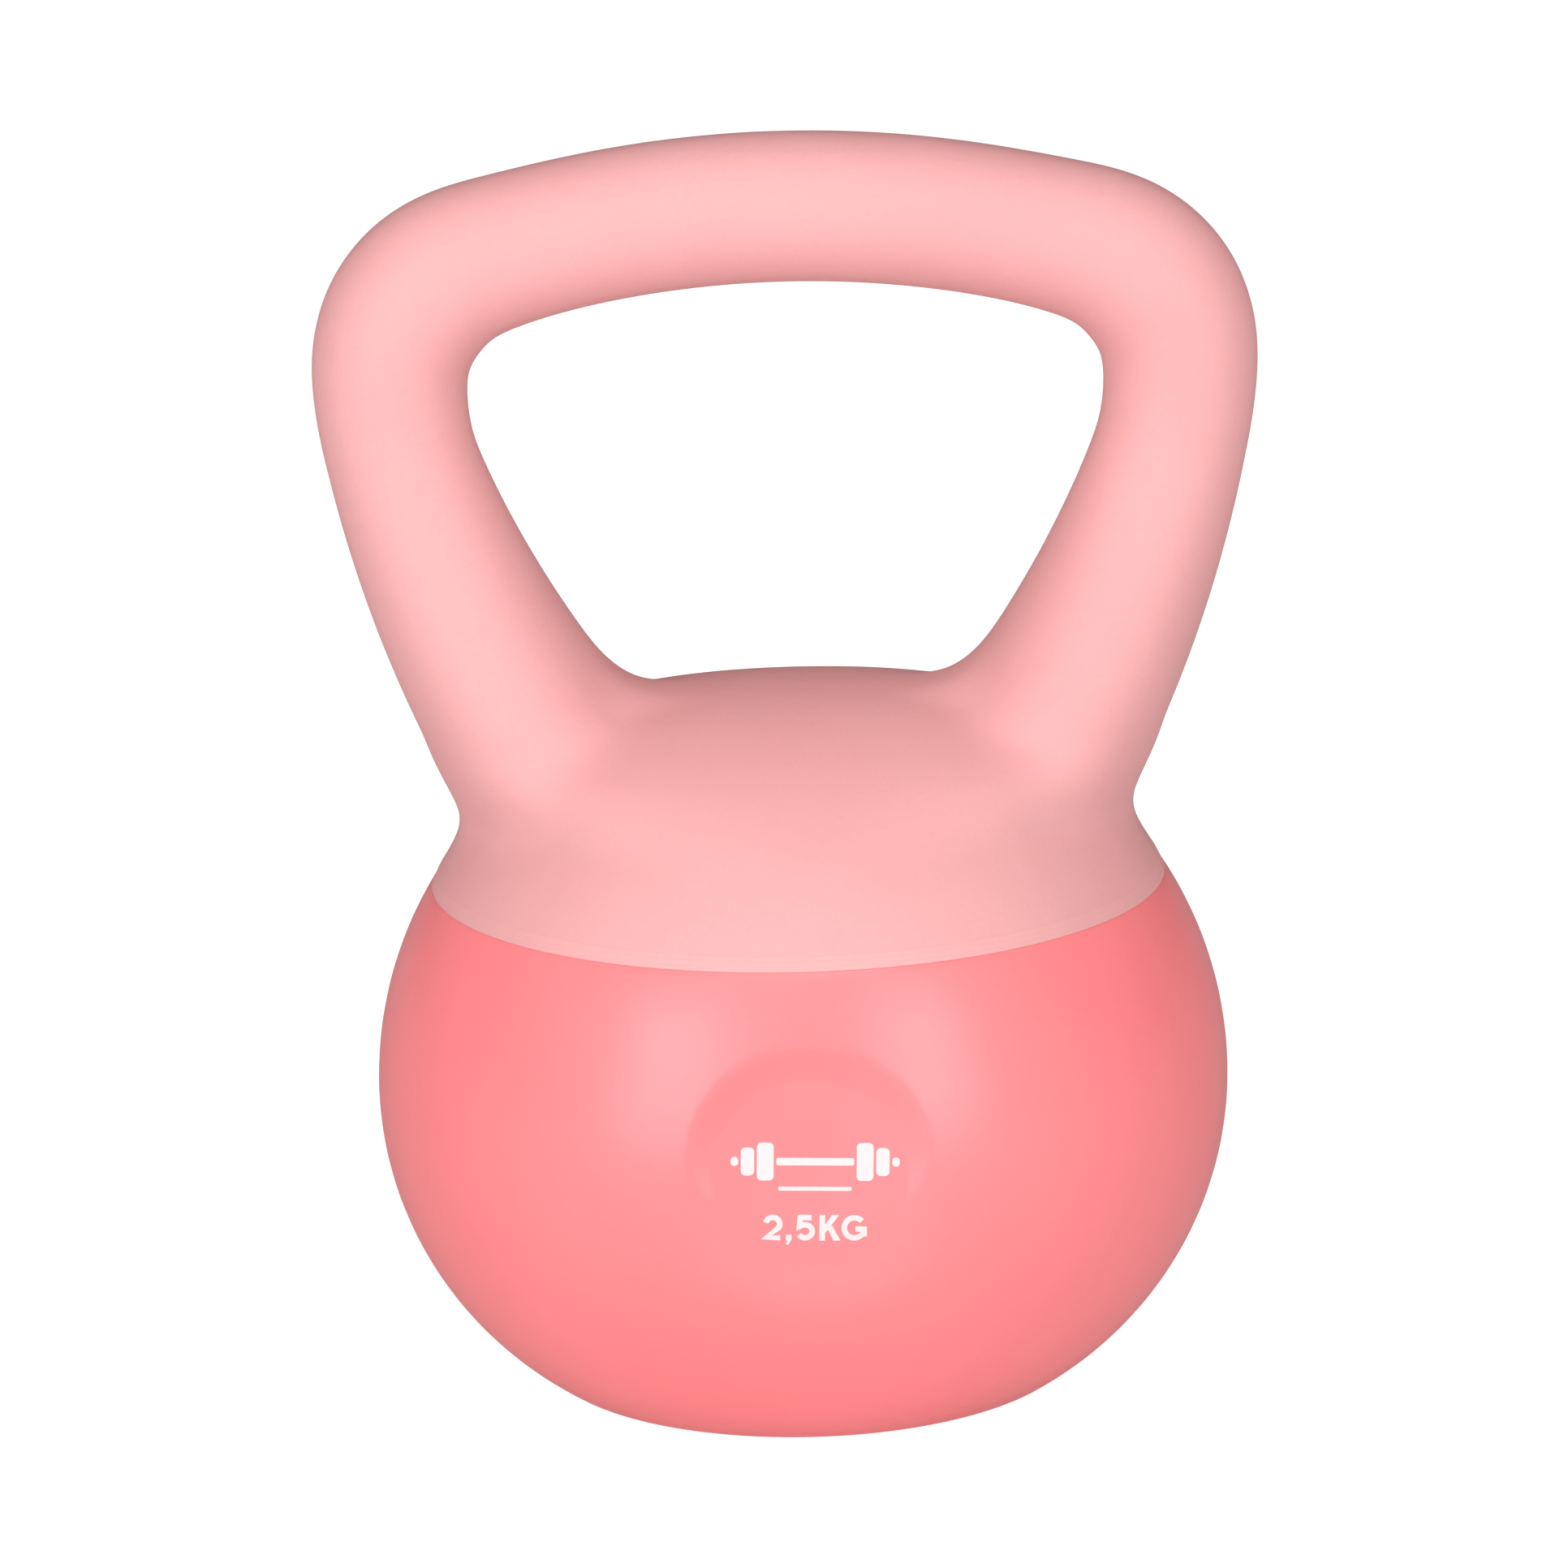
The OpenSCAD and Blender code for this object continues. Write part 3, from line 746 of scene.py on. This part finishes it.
def flat_print(name, outlines, lift=0.09):
    """Thin raised ink. Each outline is closed and splits into cross strips: point i faces point -1 - i."""
    bm = bmesh.new()
    for poly in map(finer, outlines):
        top = [bm.verts.new(on_panel(x, y, lift) * MM) for x, y in poly]
        low = [bm.verts.new(on_panel(x, y, -0.15) * MM) for x, y in poly]
        n = len(poly)
        for i in range((n - 1) // 2):
            quad = [i, i + 1, n - 2 - i, n - 1 - i]
            quad = quad[:2] + quad[3:] if quad[1] == quad[2] else quad
            bm.faces.new([top[k] for k in quad])
            bm.faces.new([low[k] for k in quad[::-1]])
        for i in range(n):
            bm.faces.new((top[i], low[i], low[(i + 1) % n], top[(i + 1) % n]))
    bmesh.ops.recalc_face_normals(bm, faces=bm.faces)
    me = bpy.data.meshes.new(name)
    bm.to_mesh(me)
    bm.free()
    ob = bpy.data.objects.new(name, me)
    bpy.context.scene.collection.objects.link(ob)
    return ob


def stroke(path, w):
    """Outline of a line of width w along a path, with mitred corners."""
    p = np.array(path, float)
    d = np.diff(p, axis=0)
    d /= np.linalg.norm(d, axis=1)[:, None]
    n = np.stack([-d[:, 1], d[:, 0]], 1)
    left, right = [], []
    for i in range(len(p)):
        if i == 0:
            m = n[0]
        elif i == len(p) - 1:
            m = n[-1]
        else:
            m = n[i - 1] + n[i]
            m = m / max((m @ m) / 2, 0.35)
        left.append(tuple(p[i] + m * w / 2))
        right.append(tuple(p[i] - m * w / 2))
    return left + right[::-1]


def bow(cx, cy, rx, ry, a0, a1, n=16):
    """n points of an ellipse's arc."""
    t = np.radians(np.linspace(a0, a1, n))
    return [(cx + rx * math.cos(a), cy + ry * math.sin(a)) for a in t]


def weight_mark(x, y, h):
    """The mark 2,5KG in plain strokes; x, y is its centre and h the height of a figure."""
    w = h * 0.213
    c = h - w                                   # centreline height
    half = w / 2
    two = bow(c * 0.335, c * 0.67, c * 0.335, c * 0.33, 168, -32, 18) + [(0.02 * c, 0.0), (c * 0.70, 0.0)]
    comma = [(0.0, 0.55), (1.0, 0.55), (1.0, -0.35), (0.40, -1.35), (-0.1, -1.2), (0.25, -0.5), (0.0, -0.5)]
    comma = [(px * w, py * w) for px, py in comma]
    five = [(c * 0.64, c), (c * 0.10, c), (c * 0.06, c * 0.56)]
    five += bow(c * 0.335, c * 0.325, c * 0.345, c * 0.325, 118, -148, 18)
    stem = [(-half, -half), (half, -half), (half, c + half), (-half, c + half)]
    fork = half * 0.9, 0.27 * h - half                        # where the upper arm leaves the stem
    arm = [fork, (fork[0], fork[1] + w * 1.55),
           (0.745 * h - half - w * 1.27, c + half), (0.745 * h - half, c + half)]
    foot = [(0.31 * h - half, 0.45 * h - half), (0.31 * h - half + w * 0.78, 0.45 * h - half + w * 0.72),
            (0.80 * h - half, -half), (0.80 * h - half - w * 1.25, -half)]
    gee = bow(c * 0.485, c * 0.5, c * 0.485, c * 0.5, 42, 322, 30)
    gee += [(c * 0.95, c * 0.20), (c * 0.95, c * 0.44), (c * 0.54, c * 0.44)]
    # shapes, reach of their outline left of their origin, width, gap to the next
    glyphs = [([stroke(two, w)], half, c * 0.70 + w, 0.106 * h),
              ([comma], 0.0, w, 0.138 * h),
              ([stroke(five, w)], half, c * 0.68 + w, 0.16 * h),
              ([stem, arm, foot], half, 0.80 * h, 0.03 * h),
              ([stroke(gee, w)], half, c * 0.96 + w, 0.0)]
    out, at = [], x - sum(wide + gap for _, _, wide, gap in glyphs) / 2
    for shapes, left, wide, gap in glyphs:
        for one in shapes:
            out.append([(px + at + left, py + y - c / 2) for px, py in one])
        at += wide + gap
    return out


def rounded(x0, y0, x1, y1, r, n=5):
    """Rectangle with round corners, from its upper right side round to its lower right side."""
    out = []
    left, right, low, high = x0 + r, x1 - r, y0 + r, y1 - r
    for cx, cy, a in ((right, high, 0), (left, high, 90), (left, low, 180), (right, low, 270)):
        out += bow(cx, cy, r, r, a, a + 90, n)
    return out


def emblem(x, y, w, h):
    """A plain dumbbell sign with a thin rule under it."""
    out = [rounded(x - w * 0.23, y - h * 0.10, x + w * 0.23, y + h * 0.10, h * 0.05)]
    for s in (-1, 1):
        for a, b, t in ((0.245, 0.345, 0.5), (0.36, 0.44, 0.37), (0.455, 0.5, 0.12)):
            xa, xb = sorted((x + s * a * w, x + s * b * w))
            out.append(rounded(xa, y - h * t, xb, y + h * t, min(h * 0.12, (xb - xa) * 0.45)))
    rule, top = RULE_WIDE / 2, y - h * 0.5 - RULE_GAP
    out.append(rounded(x - rule, top - RULE_THICK, x + rule, top, 0.3))
    return out


# ---------------------------------------------------------------- build
skin_mat, ball_mat, ink = skin_material(), ball_material(), print_material()

ball = revolve("ball_shell", bell_profile(), bell_columns(), panel_shape)
dress(ball, ball_mat)
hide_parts("bell_shell")
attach(ball, "root")

skin = make_skin()
dress(skin, skin_mat)
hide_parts("handle_cap")
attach(skin, "root")

sign = flat_print("panel_sign", emblem(0.9, 2.6, 29.0, 6.6))
mark = flat_print("panel_weight_mark", weight_mark(0.95, -8.9, 4.55))
for ob in (sign, mark):
    dress(ob, ink)
    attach(ob, "root")

plug = make_plug()
dress(plug, plug_material())
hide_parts("filler_plug")
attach(plug, "root")

hidden = {
    "grip_foam": foam_material(),
    "handle_tube": steel_material("bent_tube_steel", (176, 178, 182), 0.32),
    "tube_insert_left": steel_material("insert_steel", (158, 160, 164), 0.36),
    "anchor_plate": steel_material("plate_steel", (170, 172, 176), 0.34),
    "anchor_washer_left": steel_material("washer_steel", (196, 198, 200), 0.28),
    "anchor_bolt_left": steel_material("bolt_steel", (150, 151, 155), 0.38),
    "sand_fill": sand_material(),
    "plug_gasket": rubber_material(),
}
for name, mat in hidden.items():
    dress(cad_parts[name], mat)
    twin = name.replace("_left", "_right")
    if twin != name:
        dress(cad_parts[twin], mat)

# ---------------------------------------------------------------- floor, light and camera
FLOOR_HALF, FLOOR_DROP = 6.0, 0.0001        # in metres; a hair low, so that it never lies in the base
FLOOR_GLOW, EYE_GLOW = 0.25, 0.62
corners = [(-1, -1), (1, -1), (1, 1), (-1, 1)]
floor_me = bpy.data.meshes.new("studio_floor")
floor_me.from_pydata([(x * FLOOR_HALF, y * FLOOR_HALF, -FLOOR_DROP) for x, y in corners], [], [(0, 1, 2, 3)])
floor = bpy.data.objects.new("studio_floor", floor_me)
bpy.context.scene.collection.objects.link(floor)
fm = Mat("pale_floor")
# the eye sees bright paper, mirror rays a dimmer one
rays = fm.t.nodes.new("ShaderNodeLightPath").outputs
paper = fm.mix(rays["Is Glossy Ray"], (0.62, 0.62, 0.62), (0.18, 0.18, 0.18))
glow = fm.math("MULTIPLY_ADD", rays["Is Camera Ray"], EYE_GLOW, FLOOR_GLOW)
dress(floor, fm.set(Base__Color=paper, Roughness=0.9, Specular__IOR__Level=0.0,
                    Emission__Color=(1, 1, 1, 1), Emission__Strength=glow))


def towards(azimuth, elevation):
    """Direction from the object to a viewer or a lamp; azimuth is measured from the front towards +X."""
    return Vector((math.sin(azimuth) * math.cos(elevation), -math.cos(azimuth) * math.cos(elevation),
                   math.sin(elevation)))


def area(name, az, el, dist, width, height, radiance, target=(0, 0, 0.06)):
    """A soft box of a given radiance, seen from the target at an azimuth and an elevation."""
    la = bpy.data.lights.new(name, "AREA")
    la.shape, la.size, la.size_y = "RECTANGLE", width, height
    la.energy = radiance * math.pi * width * height
    ob = bpy.data.objects.new(name, la)
    back = towards(math.radians(az), math.radians(el))
    ob.location = Vector(target) + back * dist
    ob.rotation_mode = "QUATERNION"
    ob.rotation_quaternion = back.to_track_quat("Z", "Y")
    bpy.context.scene.collection.objects.link(ob)


area("box_left", -36, 18, 1.1, 0.50, 0.82, 4.7)
area("box_right", 33, 19, 1.1, 0.32, 0.82, 5.7)
area("box_top", 0, 62, 1.2, 1.0, 0.5, 2.7, target=(0, 0, 0.12))

FRONT = Vector((0, -0.90, -0.43))           # the room is brighter on this side
WORLD_BASE, WORLD_FRONT, WORLD_GLOSS = 0.35, 0.25, 0.03


def studio_world():
    """White room: soft light by direction, a dimmer room for mirror rays, plain white for the eye."""
    world = bpy.data.worlds.new("studio")
    bpy.context.scene.world = world
    world.use_nodes = True
    t = world.node_tree
    bg = t.nodes["Background"]
    bg.inputs[0].default_value = (1, 1, 1, 1)
    facing = t.nodes.new("ShaderNodeVectorMath")
    facing.operation = "DOT_PRODUCT"
    t.links.new(t.nodes.new("ShaderNodeTexCoord").outputs["Generated"], facing.inputs[0])
    facing.inputs[1].default_value = FRONT
    glow = t.nodes.new("ShaderNodeMath")
    glow.operation = "MULTIPLY_ADD"
    t.links.new(facing.outputs["Value"], glow.inputs[0])
    glow.inputs[1].default_value, glow.inputs[2].default_value = WORLD_FRONT, WORLD_BASE
    rays = t.nodes.new("ShaderNodeLightPath").outputs
    level = glow.outputs[0]
    for ray, strength in (("Is Glossy Ray", WORLD_GLOSS), ("Is Camera Ray", 1.0)):
        pick = t.nodes.new("ShaderNodeMix")
        t.links.new(rays[ray], pick.inputs[0])
        t.links.new(level, pick.inputs[2])
        pick.inputs[3].default_value = strength
        level = pick.outputs[0]
    t.links.new(level, bg.inputs[1])


studio_world()
bpy.context.scene.view_settings.view_transform = "Standard"

ELEV, YAW, ROLL = math.radians(14.3), math.radians(-0.45), math.radians(-1.5)
DIST, LENS, SENSOR = 1.4, 180.0, 36.0
AIM = Vector((-0.00210, 0, 0.10702))
cam_data = bpy.data.cameras.new("camera")
cam_data.sensor_width, cam_data.lens = SENSOR, LENS
cam_data.clip_start, cam_data.clip_end = 0.05, 50
cam = bpy.data.objects.new("camera", cam_data)
bpy.context.scene.collection.objects.link(cam)
bpy.context.scene.camera = cam
back = towards(YAW, ELEV)
turn = back.to_track_quat("Z", "Y").to_matrix() @ Matrix.Rotation(ROLL, 3, "Z")
cam.location = AIM + back * DIST
cam.rotation_mode = "QUATERNION"
cam.rotation_quaternion = turn.to_quaternion()
